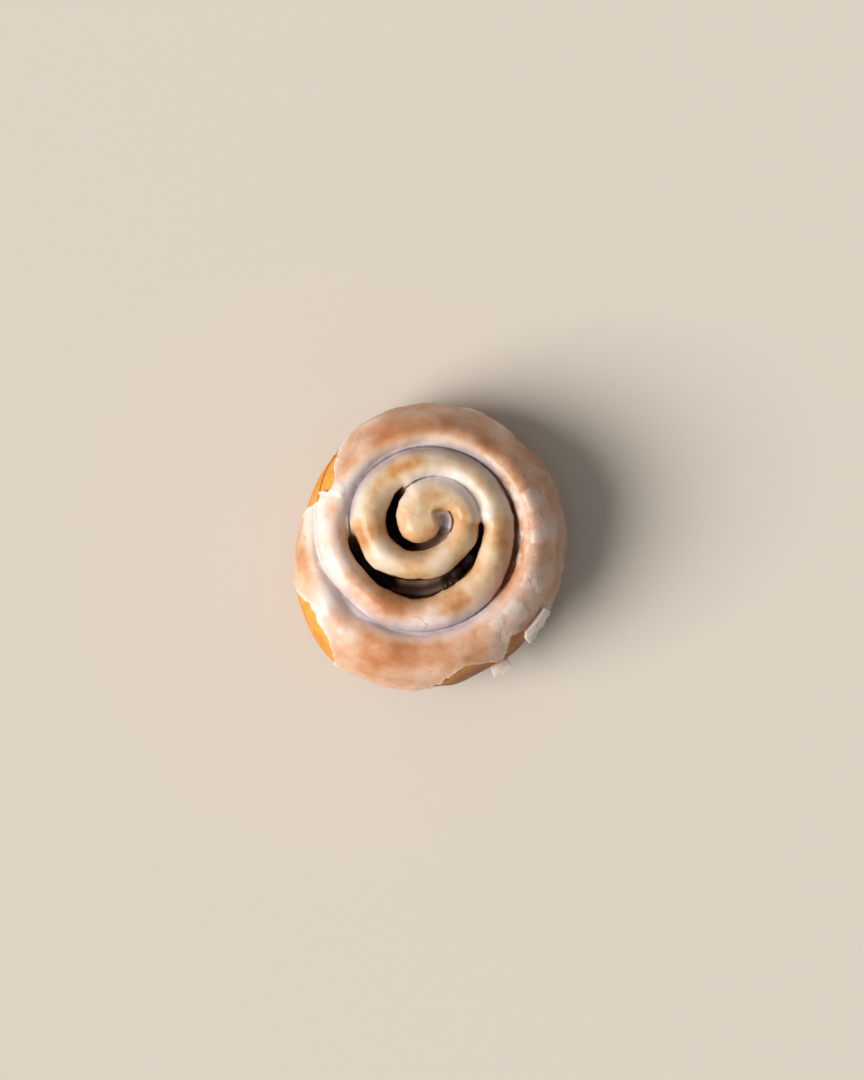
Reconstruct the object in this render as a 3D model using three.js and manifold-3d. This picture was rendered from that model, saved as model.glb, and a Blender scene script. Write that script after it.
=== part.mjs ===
// A glazed cinnamon roll, about 97 mm across and 46 mm high, standing on its flat baked base.
//
// A strip of sweet dough, spread with cinnamon filling, is rolled up and baked, so the dough is one solid with a
// spiral slit from its rounded top right through to its base. The filling is a thin strip standing in that slit.
// Sugar glaze, poured on when the roll had cooled, lies over the top as a shell that follows the turns of the
// dough, bridges the slit where it ran together, leaves it open elsewhere, and hangs down the side in a wavy edge.
//
// Millimetres, +Z up. The origin is the middle of the base.

import * as THREE from "three";
import { mergeVertices } from "three/addons/utils/BufferGeometryUtils.js";
import Module from "manifold-3d";

// ---------------------------------------------------------------- driving dimensions

const SIDE_RADIUS = 47.2; // mean radius of the side at its widest
const HEIGHT = 45.0; // bare dough, at the middle of the top
const WIDEST_AT = 20.0; // height of the widest point of the side
const BASE_RADIUS = 44.0; // of the base, before its edge is rounded
const BASE_ROUNDING = 4.0;
const SHOULDER_SHARE = 0.7; // share of the radius at which the top turns over into the side
const SHOULDER_HEIGHT = 41.0;

const SPIRAL_CENTRE = new THREE.Vector2(-0.3, 8.7); // the roll is wound off its own middle
const SPIRAL_START = THREE.MathUtils.degToRad(30); // bearing of the slit's inner end; it winds clockwise from there
const SLIT_WIDTH = 1.8; // where the turns press together
const LIP_WIDTH = 6.0; // how far each side of the slit the top rounds over
const LIP_DEPTH = 5.5; // how deep that rounding goes
const FILLING_THICKNESS = 1.2;
const FILLING_BELOW_TOP = 9.0;
const FILLING_ABOVE_BASE = 1.0;

const GLAZE_GAP = 0.3; // clearance that keeps the glaze a solid of its own
const GLAZE_THICKNESS = 1.1;
const GLAZE_IN_SLIT = 7.5; // how far glaze reaches down inside the slit

const VALLEY_WIDTH = 0.9; // flat of the glaze's valley over the slit

const STEP = 1 / 24; // turns of the spiral between two sections
const SIDES = 48; // facets round the bun
const TOP_STEPS = 9; // facets from its side to the middle of its top

// Radius of the slit from the spiral's centre, at every eighth of a turn.
const SLIT_RADII = [
  4.2, 5.0, 6.1, 8.6, 12.0, 13.3, 14.0, 15.4, // first turn
  16.7, 17.5, 19.2, 23.5, 26.5, 27.3, 25.9, 25.3, // second turn
  27.0, 30.4, 34.4, 37.7, 38.8, 39.4, // third turn, up to the dough's tail
];
const SLIT_EXIT = 6.0; // how far past the side the slit is cut, to free the tail
const TAIL_TURNS = 0.3; // length of the tail, over which the dough thins out

// Stretches where the slit gapes: [start, end] in turns, and the width it opens to.
const OPEN_STRETCHES = [
  { from: 0.33, to: 0.72, width: 5.0 },
  { from: 1.12, to: 1.62, width: 5.4 },
  { from: 2.04, to: 2.22, width: 4.4 },
];

// Height of the glaze's lower edge at every 24th of a turn from +X. It hangs in drips, with bare crust between.
const GLAZE_EDGE = [
  15, 11, 17, 9, 14, 19, 12, 15, 21, 31, 27, 16, // the far half
  9, 16, 31, 26, 12, 16, 23, 32, 24, 31, 18, 10, // the near half
];

// ---------------------------------------------------------------- the roll in plan

const TAU = 2 * Math.PI;
const SLIT_TURNS = (SLIT_RADII.length - 1) / 8;
const SLIT_END = SLIT_TURNS + 1 / 8;
const CUT_THROUGH = HEIGHT + 10; // depth below the top that is sure to be below the base
const CLEAR_OF_TOP = 8;
const GLAZE_FLOOR = SHOULDER_HEIGHT - GLAZE_IN_SLIT;
const topOfDomeAtSide = HEIGHT - (HEIGHT - SHOULDER_HEIGHT) / SHOULDER_SHARE ** 2;
const smooth = (x) => THREE.MathUtils.smoothstep(x, 0, 1);

/** Radius of the side from the roll's middle, at its widest, on a bearing. */
function sideRadius(bearing) {
  const squash = 2.2 * Math.cos(2 * bearing - 2.2);
  const threeLobed = 1.1 * Math.cos(3 * bearing + 0.75);
  return SIDE_RADIUS + squash + threeLobed;
}

const slitCurve = new THREE.CubicInterpolant(
  SLIT_RADII.map((_, i) => i / 8),
  SLIT_RADII,
  1,
);

/** Radius of the slit from the spiral's centre, after some turns. Past the last listed one it runs out of the side. */
function slitRadius(turns) {
  const past = Math.max(0, turns - SLIT_TURNS);
  return slitCurve.evaluate(Math.min(turns, SLIT_TURNS))[0] + past * 8 * SLIT_EXIT;
}

/** How far the slit gapes after some turns: 0 where the turns press together, up to the stretch's width. */
function gape(turns) {
  for (const { from, to, width } of OPEN_STRETCHES) {
    const along = (turns - from) / (to - from);
    if (along > 0 && along < 1)
      return (width - SLIT_WIDTH) * smooth(4 * Math.min(along, 1 - along));
  }
  return 0;
}

// ---------------------------------------------------------------- the bun

/** Height of the bun's top at a share of its radius, with the rounding of the turns left out. */
function topAt(share) {
  const dome = HEIGHT - (HEIGHT - SHOULDER_HEIGHT) * (share / SHOULDER_SHARE) ** 2;
  const over = Math.max(0, share - SHOULDER_SHARE) / (1 - SHOULDER_SHARE);
  return dome - (topOfDomeAtSide - WIDEST_AT) * over ** 3;
}

/** Half outline of the bun, from the middle of the base to the middle of the top, grown by an offset. */
function bunProfile(offset) {
  const lower = new THREE.Path();
  lower.moveTo(0, 0);
  lower.lineTo(BASE_RADIUS - BASE_ROUNDING, 0);
  lower.quadraticCurveTo(BASE_RADIUS, 0, BASE_RADIUS + 0.7, BASE_ROUNDING);
  lower.quadraticCurveTo(SIDE_RADIUS, WIDEST_AT / 2, SIDE_RADIUS, WIDEST_AT);
  const outline = lower.getPoints(4);
  for (let i = 1; i <= TOP_STEPS; i++) {
    const share = Math.cos((i / TOP_STEPS) * (Math.PI / 2));
    outline.push(new THREE.Vector2(share * SIDE_RADIUS, topAt(share)));
  }
  return outline.map((point, i) => {
    const along = outline[Math.min(i + 1, outline.length - 1)].clone().sub(outline[Math.max(i - 1, 0)]);
    const out = new THREE.Vector2(along.y, -along.x).normalize();
    const onAxis = i === 0 || i === outline.length - 1;
    return new THREE.Vector2(onAxis ? 0 : point.x + out.x * offset, point.y + out.y * offset);
  });
}

/** Turns a profile into a solid, then pulls it out or in so that its plan follows sideRadius. */
function turned(profile, heightAt = null) {
  const geometry = new THREE.LatheGeometry(profile, SIDES);
  geometry.rotateX(Math.PI / 2);
  const at = geometry.getAttribute("position");
  for (let i = 0; i < at.count; i++) {
    const bearing = Math.atan2(at.getY(i), at.getX(i));
    const pull = sideRadius(bearing) / SIDE_RADIUS;
    at.setX(i, at.getX(i) * pull);
    at.setY(i, at.getY(i) * pull);
    if (heightAt) at.setZ(i, heightAt(at.getZ(i), bearing));
  }
  return geometry;
}

/** Height of the bun's top over a point. */
function topHeight(x, y) {
  return topAt(Math.min(1, Math.hypot(x, y) / sideRadius(Math.atan2(y, x))));
}

// ---------------------------------------------------------------- winding things into the spiral

/**
 * Winds a straight bar into the spiral. The bar is an extrusion whose x runs across the slit, y up from the
 * bun's top, and z along it in turns. The spread gives the distance from the slit's middle that an x ends up at.
 */
function wound(section, from, to, spread = (x) => x) {
  const bar = new THREE.ExtrudeGeometry(section, {
    depth: to - from,
    steps: Math.max(2, Math.round((to - from) / STEP)),
    bevelEnabled: false,
  });
  const at = bar.getAttribute("position");
  for (let i = 0; i < at.count; i++) {
    const turns = from + at.getZ(i);
    const bearing = SPIRAL_START - turns * TAU;
    const radius = slitRadius(turns) + spread(at.getX(i), turns, at.getY(i));
    const x = SPIRAL_CENTRE.x + radius * Math.cos(bearing);
    const y = SPIRAL_CENTRE.y + radius * Math.sin(bearing);
    at.setXYZ(i, x, y, topHeight(x, y) + at.getY(i));
  }
  return bar;
}

/** Section of what is cut away along the slit: a slot of some width and depth, with lips that round out at the top. */
function lippedSection(half, depth, offset) {
  const lip = half + LIP_WIDTH;
  const drop = Math.min(LIP_DEPTH, depth - 0.5);
  const section = new THREE.Shape();
  section.moveTo(-half, -depth);
  section.lineTo(half, -depth);
  section.lineTo(half, -drop);
  section.quadraticCurveTo(half + 0.6, offset, lip, offset + 0.2);
  section.lineTo(lip, CLEAR_OF_TOP);
  section.lineTo(-lip, CLEAR_OF_TOP);
  section.lineTo(-lip, offset + 0.2);
  section.quadraticCurveTo(-half - 0.6, offset, -half, -drop);
  return section;
}

/** A plain upright slot of some width. */
function slotSection(width, depth, top) {
  const section = new THREE.Shape();
  section.moveTo(-width / 2, -depth);
  section.lineTo(width / 2, -depth);
  section.lineTo(width / 2, top);
  section.lineTo(-width / 2, top);
  return section;
}

// ---------------------------------------------------------------- solids

const wasm = await Module();
wasm.setup();

/** A manifold solid of a closed geometry. */
function solid(geometry) {
  const bare = geometry.clone();
  bare.deleteAttribute("normal");
  bare.deleteAttribute("uv");
  const merged = mergeVertices(bare, 1e-4);
  return new wasm.Manifold(
    new wasm.Mesh({
      numProp: 3,
      vertProperties: merged.getAttribute("position").array,
      triVerts: new Uint32Array(merged.index.array),
    }),
  );
}

/** The three.js geometry of a manifold solid. */
function geometryOf(made) {
  const mesh = made.getMesh();
  const geometry = new THREE.BufferGeometry();
  geometry.setAttribute("position", new THREE.BufferAttribute(new Float32Array(mesh.vertProperties), 3));
  geometry.setIndex(new THREE.BufferAttribute(new Uint32Array(mesh.triVerts), 1));
  geometry.computeVertexNormals();
  return geometry;
}

/** The largest of a solid's separate bodies, so that crumbs left by a cut are dropped. */
function largest(made) {
  return made.decompose().reduce((a, b) => (b.volume() > a.volume() ? b : a));
}

/** The bun grown by an offset, less one section wound all along the slit, which gapes along its open stretches. */
function parted(offset, section) {
  const spread = (x, turns, y) => {
    // Lips draw in at the middle of the spiral, where there is no room for them, and die away along the tail.
    const room = x < 0 ? Math.min(1, (slitRadius(turns) - 2.5) / LIP_WIDTH) : 1;
    const tail = 1 - 0.75 * smooth((turns - SLIT_TURNS + TAIL_TURNS) / TAIL_TURNS);
    const opening = y > -HEIGHT / 2 ? gape(turns) / 2 : 0;
    const lip = Math.max(0, Math.abs(x) - SLIT_WIDTH / 2);
    return Math.sign(x) * (Math.abs(x) - lip + lip * Math.min(room, tail) + opening);
  };
  // The bar overlaps itself where neighbouring lips meet, so it is cut one turn at a time.
  let made = solid(turned(bunProfile(offset)));
  for (let from = 0; from < SLIT_END; from++) {
    const to = Math.min(from + 1 + STEP, SLIT_END);
    made = made.subtract(solid(wound(section, from, to, spread)));
  }
  return made;
}

/** The dough grown by an offset: the slit goes right through it, and narrows as the dough grows. */
function dough(offset) {
  return parted(offset, lippedSection(SLIT_WIDTH / 2 - offset, CUT_THROUGH, offset));
}

/** The outside of the poured glaze: a valley runs along the slit, and closes it. */
function glazeOutside() {
  const offset = GLAZE_GAP + GLAZE_THICKNESS;
  return parted(offset, lippedSection(VALLEY_WIDTH / 2, LIP_DEPTH - offset, offset));
}

const edgeCurve = new THREE.CubicInterpolant(
  [...GLAZE_EDGE, GLAZE_EDGE[0]].map((_, i) => i / GLAZE_EDGE.length),
  [...GLAZE_EDGE, GLAZE_EDGE[0]],
  1,
);

/** Height of the glaze's lower edge on a bearing. */
function glazeEdge(bearing) {
  return edgeCurve.evaluate(THREE.MathUtils.euclideanModulo(bearing / TAU, 1))[0];
}

/** The space above the glaze's lower edge, and above its reach inside the slit. */
function glazeSpace() {
  const inner = SIDE_RADIUS * (SHOULDER_SHARE + 0.06);
  const profile = [
    [0, GLAZE_FLOOR],
    [inner, GLAZE_FLOOR],
    [inner + 2, 0],
    [SIDE_RADIUS + 8, 0],
    [SIDE_RADIUS + 8, HEIGHT + 20],
    [0, HEIGHT + 20],
  ].map(([x, y]) => new THREE.Vector2(x, y));
  return solid(turned(profile, (z, bearing) => (z < 1 ? glazeEdge(bearing) : z)));
}

/** The glaze: what lies between its outside and the dough grown by the gap, opened where the slit gapes. */
function glaze() {
  let made = glazeOutside().subtract(dough(GLAZE_GAP)).intersect(glazeSpace());
  for (const { from, to, width } of OPEN_STRETCHES) {
    const margin = 0.15 * (to - from);
    const start = from + margin;
    const end = to - margin;
    const slot = slotSection(width - 2 * (GLAZE_GAP + GLAZE_THICKNESS), CUT_THROUGH, CLEAR_OF_TOP);
    const narrowing = (x, turns) => {
      const along = (turns - start) / (end - start);
      return x * (0.15 + 0.85 * smooth(4 * Math.min(along, 1 - along)));
    };
    made = made.subtract(solid(wound(slot, start, end, narrowing)));
  }
  return largest(made);
}

/** The filling: a thin strip that stands in the slit, from near the base to below the top. */
function filling() {
  const strip = slotSection(FILLING_THICKNESS, CUT_THROUGH, -FILLING_BELOW_TOP);
  const bar = wound(strip, 1.5 * STEP, SLIT_TURNS - 0.25);
  const at = bar.getAttribute("position");
  const top = GLAZE_FLOOR - GLAZE_GAP;
  for (let i = 0; i < at.count; i++)
    at.setZ(i, THREE.MathUtils.clamp(at.getZ(i), FILLING_ABOVE_BASE, top));
  return solid(bar);
}

// ---------------------------------------------------------------- the roll

const finishes = {
  dough_roll: new THREE.MeshStandardMaterial({ color: 0xd9933f, roughness: 0.62, metalness: 0 }),
  cinnamon_filling: new THREE.MeshStandardMaterial({ color: 0x3a1a10, roughness: 0.35, metalness: 0 }),
  sugar_glaze: new THREE.MeshStandardMaterial({ color: 0xe6cdb4, roughness: 0.22, metalness: 0 }),
};

/** A named mesh of a solid, in its own finish. */
function piece(name, made) {
  const mesh = new THREE.Mesh(geometryOf(made), finishes[name]);
  mesh.name = name;
  return mesh;
}

const roll = new THREE.Group();
roll.add(piece("dough_roll", dough(0)));
roll.add(piece("cinnamon_filling", filling()));
roll.add(piece("sugar_glaze", glaze()));

// The origin is the middle of the base, under the middle of the whole roll.
const box = new THREE.Box3().setFromObject(roll);
const middle = box.getCenter(new THREE.Vector3());
roll.position.set(-middle.x, -middle.y, -box.min.z);

export default roll;
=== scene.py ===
"""A glazed cinnamon roll: a spiral of baked dough, the filling between its turns, and the glaze over it.

The dough is one strip, wound as it is by hand and baked, so every piece is made straight and then wound
along the same spiral. Lengths in this file are millimetres unless a name says otherwise. Turning angles are
degrees along the spiral, which runs outwards clockwise seen from above. Blender's own units are metres, so
each mesh is scaled by MM when its points are set.
"""

import logging
import math
from dataclasses import dataclass, field
from enum import Enum

import bpy
import numpy as np
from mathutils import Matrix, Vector
from mathutils.bvhtree import BVHTree


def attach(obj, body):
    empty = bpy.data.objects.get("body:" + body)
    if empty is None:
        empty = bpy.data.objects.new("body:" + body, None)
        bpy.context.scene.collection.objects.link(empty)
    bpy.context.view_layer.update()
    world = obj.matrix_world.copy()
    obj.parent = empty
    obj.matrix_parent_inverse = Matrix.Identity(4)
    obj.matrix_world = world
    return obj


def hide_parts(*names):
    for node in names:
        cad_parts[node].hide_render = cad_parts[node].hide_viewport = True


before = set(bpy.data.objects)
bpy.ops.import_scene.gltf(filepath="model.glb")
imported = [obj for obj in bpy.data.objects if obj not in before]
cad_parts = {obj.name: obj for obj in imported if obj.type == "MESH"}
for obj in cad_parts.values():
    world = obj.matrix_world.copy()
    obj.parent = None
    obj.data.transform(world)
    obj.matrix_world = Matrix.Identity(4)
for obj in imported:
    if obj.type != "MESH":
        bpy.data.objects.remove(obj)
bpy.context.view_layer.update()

LOG = logging.getLogger("cinnamon_roll")
MM = 0.001
TURN = 360.0
SEWING_DISTANCE = 1e-8  # metres: only points that coincide are sewn together


# ---------------------------------------------------------------- numbers and tables


def smoothstep(x: np.ndarray | float, low: float = 0.0, high: float = 1.0) -> np.ndarray:
    """Rise smoothly from 0 at low to 1 at high."""
    s = np.clip((np.asarray(x, dtype=float) - low) / (high - low), 0.0, 1.0)
    return s * s * (3.0 - 2.0 * s)


def bell(x: np.ndarray | float, width: float) -> np.ndarray:
    """Rise to 1 at zero and fall away over a width on each side."""
    return np.exp(-((np.asarray(x, dtype=float) / width) ** 2))


def between(
    x: np.ndarray | float, rise: tuple[float, float], fall: tuple[float, float]
) -> np.ndarray:
    """Rise smoothly from 0 to 1 over one range, and fall back to 0 over another."""
    return smoothstep(x, *rise) * (1 - smoothstep(x, *fall))


def angle_from(bearing: np.ndarray, middle: float = 0.0) -> np.ndarray:
    """Give the angle from one bearing to others, between -180 and 180 degrees."""
    return np.mod(bearing - middle + TURN / 2, TURN) - TURN / 2


def read_table(at: np.ndarray, table: tuple[tuple[float, float], ...]) -> np.ndarray:
    """Read a table of (place, value) pairs, straight from each to the next."""
    places, values = zip(*table)
    return np.interp(at, places, values)


def curve_through(x: np.ndarray, places: np.ndarray, values: np.ndarray) -> np.ndarray:
    """Read a table of values as a smooth curve.

    Args:
        x: Where to read it.
        places: The places of the values, rising.
        values: The value at each place.

    Returns:
        The curve's height at each x, held level past both ends.
    """
    places, values = np.asarray(places, float), np.asarray(values, float)
    slopes = np.gradient(values, places)
    x = np.clip(x, places[0], places[-1])
    i = np.clip(np.searchsorted(places, x, side="right") - 1, 0, len(places) - 2)
    span = places[i + 1] - places[i]
    s = (x - places[i]) / span
    return (
        values[i] * (1 + 2 * s) * (1 - s) ** 2
        + slopes[i] * span * s * (1 - s) ** 2
        + values[i + 1] * s * s * (3 - 2 * s)
        + slopes[i + 1] * span * s * s * (s - 1)
    )


def lumps(points: np.ndarray, wavelength: float, seed: int, waves: int = 14) -> np.ndarray:
    """Give a smooth random swell over space, mostly between -1 and 1.

    Args:
        points: Places, with x, y and z in the last axis.
        wavelength: Typical distance from one lump to the next.
        seed: Which swell.
        waves: How many plane waves make it up.

    Returns:
        The swell at each place.
    """
    random = np.random.default_rng(seed)
    directions = random.normal(size=(waves, 3))
    directions /= np.linalg.norm(directions, axis=1, keepdims=True)
    rates = 2 * math.pi / wavelength * random.uniform(0.6, 1.5, size=(waves, 1))
    phases = random.uniform(0, 2 * math.pi, size=waves)
    return np.sin(points @ (directions * rates).T + phases).sum(axis=-1) * math.sqrt(1.0 / waves)


# ---------------------------------------------------------------- the roll's own shape


@dataclass(frozen=True)
class Bun:
    """The roll as a whole, with no spiral: its outline from above, and its height over its plan."""

    side_radius: float = 47.9
    lean: tuple[float, float] = (0.75, -167.0)
    squash: tuple[float, float] = (2.21, 127.0)
    three_lobes: tuple[float, float] = (1.12, -43.0)
    four_lobes: tuple[float, float] = (0.36, 101.0)
    top: float = 45.0
    shoulder: float = 41.0
    shoulder_share: float = 0.70
    widest_at: float = 20.0
    side_heights: tuple[float, ...] = (0.0, 0.5, 1.5, 3.5, 7.0, 12.0, 16.0, 20.0)
    side_shares: tuple[float, ...] = (0.875, 0.905, 0.928, 0.948, 0.968, 0.987, 0.996, 1.0)

    def outline(self, bearing: np.ndarray) -> np.ndarray:
        """Give the side's radius from the roll's middle on a bearing in degrees."""
        radius = self.side_radius
        for count, (size, phase) in enumerate(
            (self.lean, self.squash, self.three_lobes, self.four_lobes), start=1
        ):
            radius = radius + size * np.cos(np.radians(count * bearing - phase))
        return radius

    def share(self, x: np.ndarray, y: np.ndarray) -> np.ndarray:
        """Give how far out a place is, from 0 at the roll's middle to 1 at its side."""
        return np.hypot(x, y) / self.outline(np.degrees(np.arctan2(y, x)))

    def height(self, share: np.ndarray) -> np.ndarray:
        """Give the height of the top over a place, from its share of the way out."""
        dome = self.top - (self.top - self.shoulder) * (share / self.shoulder_share) ** 2
        over = np.clip((share - self.shoulder_share) / (1 - self.shoulder_share), 0, 1)
        at_side = self.top - (self.top - self.shoulder) / self.shoulder_share**2
        return dome - (at_side - self.widest_at) * over**3

    def side_share(self, z: np.ndarray) -> np.ndarray:
        """Give the share that the side below its widest place reaches at a height."""
        return curve_through(z, self.side_heights, self.side_shares)


@dataclass(frozen=True)
class Spiral:
    """Plan of the gap between the turns, and how it opens and fills along the way."""

    bun: Bun = field(default_factory=Bun)
    centre: tuple[float, float] = (-0.3, 9.0)
    start_bearing: float = 30.0
    first: float = -425.0
    core_by: float = -50.0
    last: float = 965.0
    tail: float = 30.0
    tail_tip: float = 0.4
    parted_by: float = 15.0
    core_growth: float = 0.022  # millimetres that the core's radius grows for each degree
    core_radius: float = 3.0
    gap_step: float = 45.0  # degrees from each of the gap's radii to the next
    gap_radii: tuple[float, ...] = (
        4.2, 5.0, 6.1, 8.4, 12.0, 13.3, 14.0, 15.4,
        16.7, 17.5, 19.2, 23.5, 26.5, 27.3, 25.7, 25.2,
        27.0, 30.2, 34.4, 37.7, 38.6, 38.9, 41.0,
    )  # fmt: skip
    # How far the gap opens on each side of its middle: (degrees, millimetres).
    # Below zero the turns are pressed together.
    openings: tuple[tuple[float, float], ...] = (
        (-500, -0.4), (-50, -0.4), (-26, 0.8), (4, 2.3), (30, 2.3), (64, 1.6), (100, 1.2), (150, 1.15),
        (180, 1.0), (208, 0.7), (230, 0.6), (250, 0.6), (264, 0.3), (276, -0.4), (386, -0.4), (396, 0.6),
        (420, 0.75), (450, 1.6), (468, 2.2), (492, 2.25), (510, 1.75), (525, 1.2), (540, 0.75),
        (558, 0.6), (570, 0.3), (580, -0.4), (698, -0.4), (708, 0.0), (722, 0.15), (765, 0.25),
        (792, 0.2), (804, 0.0), (813, -0.4), (1400, -0.4),
    )  # fmt: skip
    # How far below the top the glaze stands in the gap: (degrees, millimetres).
    pools: tuple[tuple[float, float], ...] = (
        (-500, 0.2), (-50, 0.2), (-34, 1.0), (-18, 2.2), (10, 3.6), (45, 4.2), (80, 5.4), (105, 6.6),
        (135, 8.0), (152, 10.5), (166, 16.0), (240, 16.0), (254, 7.0), (264, 3.4), (278, 2.4),
        (330, 2.0), (386, 2.2), (396, 8.0), (404, 16.0), (446, 16.0), (470, 10.5), (505, 10.5),
        (516, 16.0), (544, 13.0), (556, 6.5), (566, 3.2), (580, 2.3), (685, 2.3), (700, 2.6), (714, 3.2),
        (735, 4.0), (765, 4.6), (792, 4.4), (804, 3.2), (816, 2.4), (900, 2.0), (965, 1.5), (1400, 1.5),
    )  # fmt: skip

    def gap_radius(self, turned: np.ndarray) -> np.ndarray:
        """Give the radius of the gap's middle from the spiral's centre, at a turning angle."""
        places = np.arange(len(self.gap_radii)) * self.gap_step
        inner = np.maximum(self.gap_radii[0] + self.core_growth * turned, self.core_radius)
        radius = np.where(turned < 0, inner, curve_through(turned, places, self.gap_radii))
        out = smoothstep(turned, self.last - self.tail, self.last)
        return radius + out * (self.side_radius(turned) - self.tail_tip - radius)

    def parting(self, turned: np.ndarray) -> np.ndarray:
        """Give how far the turns have parted, from 0 in the solid core to 1, at a turning angle."""
        return smoothstep(turned, self.core_by, self.parted_by)

    def opening(self, turned: np.ndarray) -> np.ndarray:
        """Give half the width of the gap at a turning angle."""
        return read_table(turned, self.openings)

    def pool(self, turned: np.ndarray) -> np.ndarray:
        """Give how far below the top the glaze stands in the gap at a turning angle."""
        return read_table(turned, self.pools)

    def bearing(self, turned: np.ndarray) -> np.ndarray:
        """Give the bearing of a turning angle, in degrees anticlockwise from +X."""
        return self.start_bearing - turned

    def place(self, turned: np.ndarray, radius: np.ndarray) -> tuple[np.ndarray, np.ndarray]:
        """Give the x and y of a radius from the spiral's centre at a turning angle."""
        way = np.radians(self.bearing(turned))
        return self.centre[0] + radius * np.cos(way), self.centre[1] + radius * np.sin(way)

    def side_radius(self, turned: np.ndarray) -> np.ndarray:
        """Give the radius, from the spiral's centre, at which the side is met at a turning angle."""
        radius = np.full(np.shape(turned), self.bun.side_radius)
        for _ in range(8):
            x, y = self.place(turned, radius)
            radius = radius / self.bun.share(x, y)
        return radius

    def nearest_gap(self, x: np.ndarray, y: np.ndarray) -> tuple[np.ndarray, np.ndarray]:
        """Find the gap next to a place.

        Args:
            x: Places across.
            y: Places along.

        Returns:
            The distance to the nearest stretch of the gap, outwards positive, and its turning angle.
        """
        dx, dy = x - self.centre[0], y - self.centre[1]
        radius = np.hypot(dx, dy)
        turned = np.mod(self.start_bearing - np.degrees(np.arctan2(dy, dx)), TURN)
        best, where = np.full(np.shape(x), 1e3), np.zeros(np.shape(x))
        for _ in range(3):
            away = radius - self.gap_radius(turned)
            closer = (np.abs(away) < np.abs(best)) & (turned <= self.last)
            best, where = np.where(closer, away, best), np.where(closer, turned, where)
            turned = turned + TURN
        return best, where


@dataclass(frozen=True)
class StripSkin:
    """The skin of the dough strip, round its section from the inner foot over the top to the outer foot."""

    spiral: Spiral = field(default_factory=Spiral)
    lip_width: float = 6.5
    lip_drop: float = 7.0
    thin_lip: float = 5.0
    puff: float = 0.9
    swell: float = 0.35
    blister: float = 0.03
    wall_points: int = 14
    top_points: int = 44
    side_points: int = 26
    pole: float = 0.2
    pressed: float = -0.3  # the most that a closed gap's walls run into each other, as an opening
    crowding: float = 0.7  # power that gathers a wall's points near its top: the smaller, the closer
    fused: tuple[float, float] = (2.0, 7.0)
    outer_turn_from: float = 596.0
    outer_turn_by: float = 622.0

    def baked(self, points: np.ndarray) -> np.ndarray:
        """Let a skin swell and blister as it bakes, all but its flat foot.

        Args:
            points: A grid of points of the skin.

        Returns:
            The grid, moved in or out along its own normals.
        """
        lift = smoothstep(points[..., 2], 0.5, 5.0)
        swell = self.swell * lumps(points, 19.0, seed=3) + self.blister * lumps(points, 3.2, seed=4)
        return points + self.outward(points) * (swell * lift)[..., None]

    def outward(self, points: np.ndarray) -> np.ndarray:
        """Give the outward normals of a skin's grid, each in the plane of its own section.

        Args:
            points: The grid, whose columns run from the inner foot over to the outer foot.

        Returns:
            The normals. Those at the middle of the core point straight up, or nowhere if they are inside it.
        """
        way = points[..., :2] - np.array(self.spiral.centre)
        radius = np.hypot(way[..., 0], way[..., 1])
        along = np.stack([way[..., 1] / radius, -way[..., 0] / radius, 0 * radius], axis=-1)
        normal = np.cross(along, np.gradient(points, axis=1))
        normal /= np.maximum(np.linalg.norm(normal, axis=-1, keepdims=True), 1e-9)
        on_top = np.arange(points.shape[1]) >= self.wall_points
        upright = np.stack([0 * radius, 0 * radius, on_top + 0 * radius], axis=-1)
        return np.where((radius < self.pole)[..., None], upright, normal)

    def lip(self, away: np.ndarray, width: np.ndarray) -> np.ndarray:
        """Give how far the top has rounded down at a distance from the wall."""
        inwards = 1 - np.clip(away / width, 0, 1)
        drop = self.lip_drop * np.minimum(width / self.thin_lip, 1)
        return drop * (1 - np.sqrt(np.clip(1 - inwards**2, 0, 1)))

    def lean(self, z: np.ndarray, share: np.ndarray) -> np.ndarray:
        """Give the share of its radius at which a wall stands: near the side it falls as the side does."""
        return 1 - (1 - self.spiral.bun.side_share(z)) * smoothstep(share, 0.75, 0.97)

    def risen(self, turned: np.ndarray, radius: np.ndarray, rim: np.ndarray, edge: np.ndarray) -> np.ndarray:
        """Give how far the top has risen: 1 midway between the walls and 0 at them, and 1 at the core."""
        across = np.clip((radius - rim) / (edge - rim), 0, 1)
        from_middle = radius / edge
        strip = smoothstep(turned, self.spiral.core_by - 120, self.spiral.core_by)
        strip = strip * smoothstep(radius, 0.5, 3.0)
        return 4 * across * (1 - across) * strip + (1 - from_middle**2) * (1 - strip)

    def skin(
        self, steps: int, gap_more: float, foot: float, last: float | None = None
    ) -> dict[str, np.ndarray]:
        """Lay out the strip's skin as a grid of points.

        Args:
            steps: How many sections to cut the strip into.
            gap_more: How much wider the gap is on each side than the spiral says.
            foot: Height of the lowest points on the inner turns.
            last: Turning angle at which to stop, if short of the strip's own end.

        Returns:
            Grids, one row a section: the points, and for each its turning angle, the height of the bun's top
            over it, its radius, the radii of the inner and the outer gap, and how far it is on the outside.
        """
        spiral, bun = self.spiral, self.spiral.bun
        turned = np.linspace(spiral.first, last or spiral.last, steps + 1)[:, None]
        gap_in = spiral.gap_radius(turned)
        gap_out = spiral.gap_radius(turned + TURN)
        side = spiral.side_radius(turned)
        outside = smoothstep(turned, self.outer_turn_from, self.outer_turn_by)
        # The strip's tail is fused to the turn it lies on where it is thin.
        more_in, more_out = (gap_more * smoothstep(side - gap, *self.fused) for gap in (gap_in, gap_out))
        apart_in = np.maximum(spiral.opening(turned), self.pressed)
        apart_out = np.maximum(spiral.opening(turned + TURN), self.pressed)
        # In the core the inner wall is a hair's breadth from the centre, and no two of its points coincide.
        core_wall = 0.03 - 2e-5 * turned
        wall_in = np.where(turned < spiral.core_by, core_wall, gap_in + apart_in + more_in)
        wall_out = gap_out - apart_out - more_out
        edge = wall_out * (1 - outside) + side * outside
        wall_in = np.minimum(wall_in, edge - spiral.tail_tip)

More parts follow.
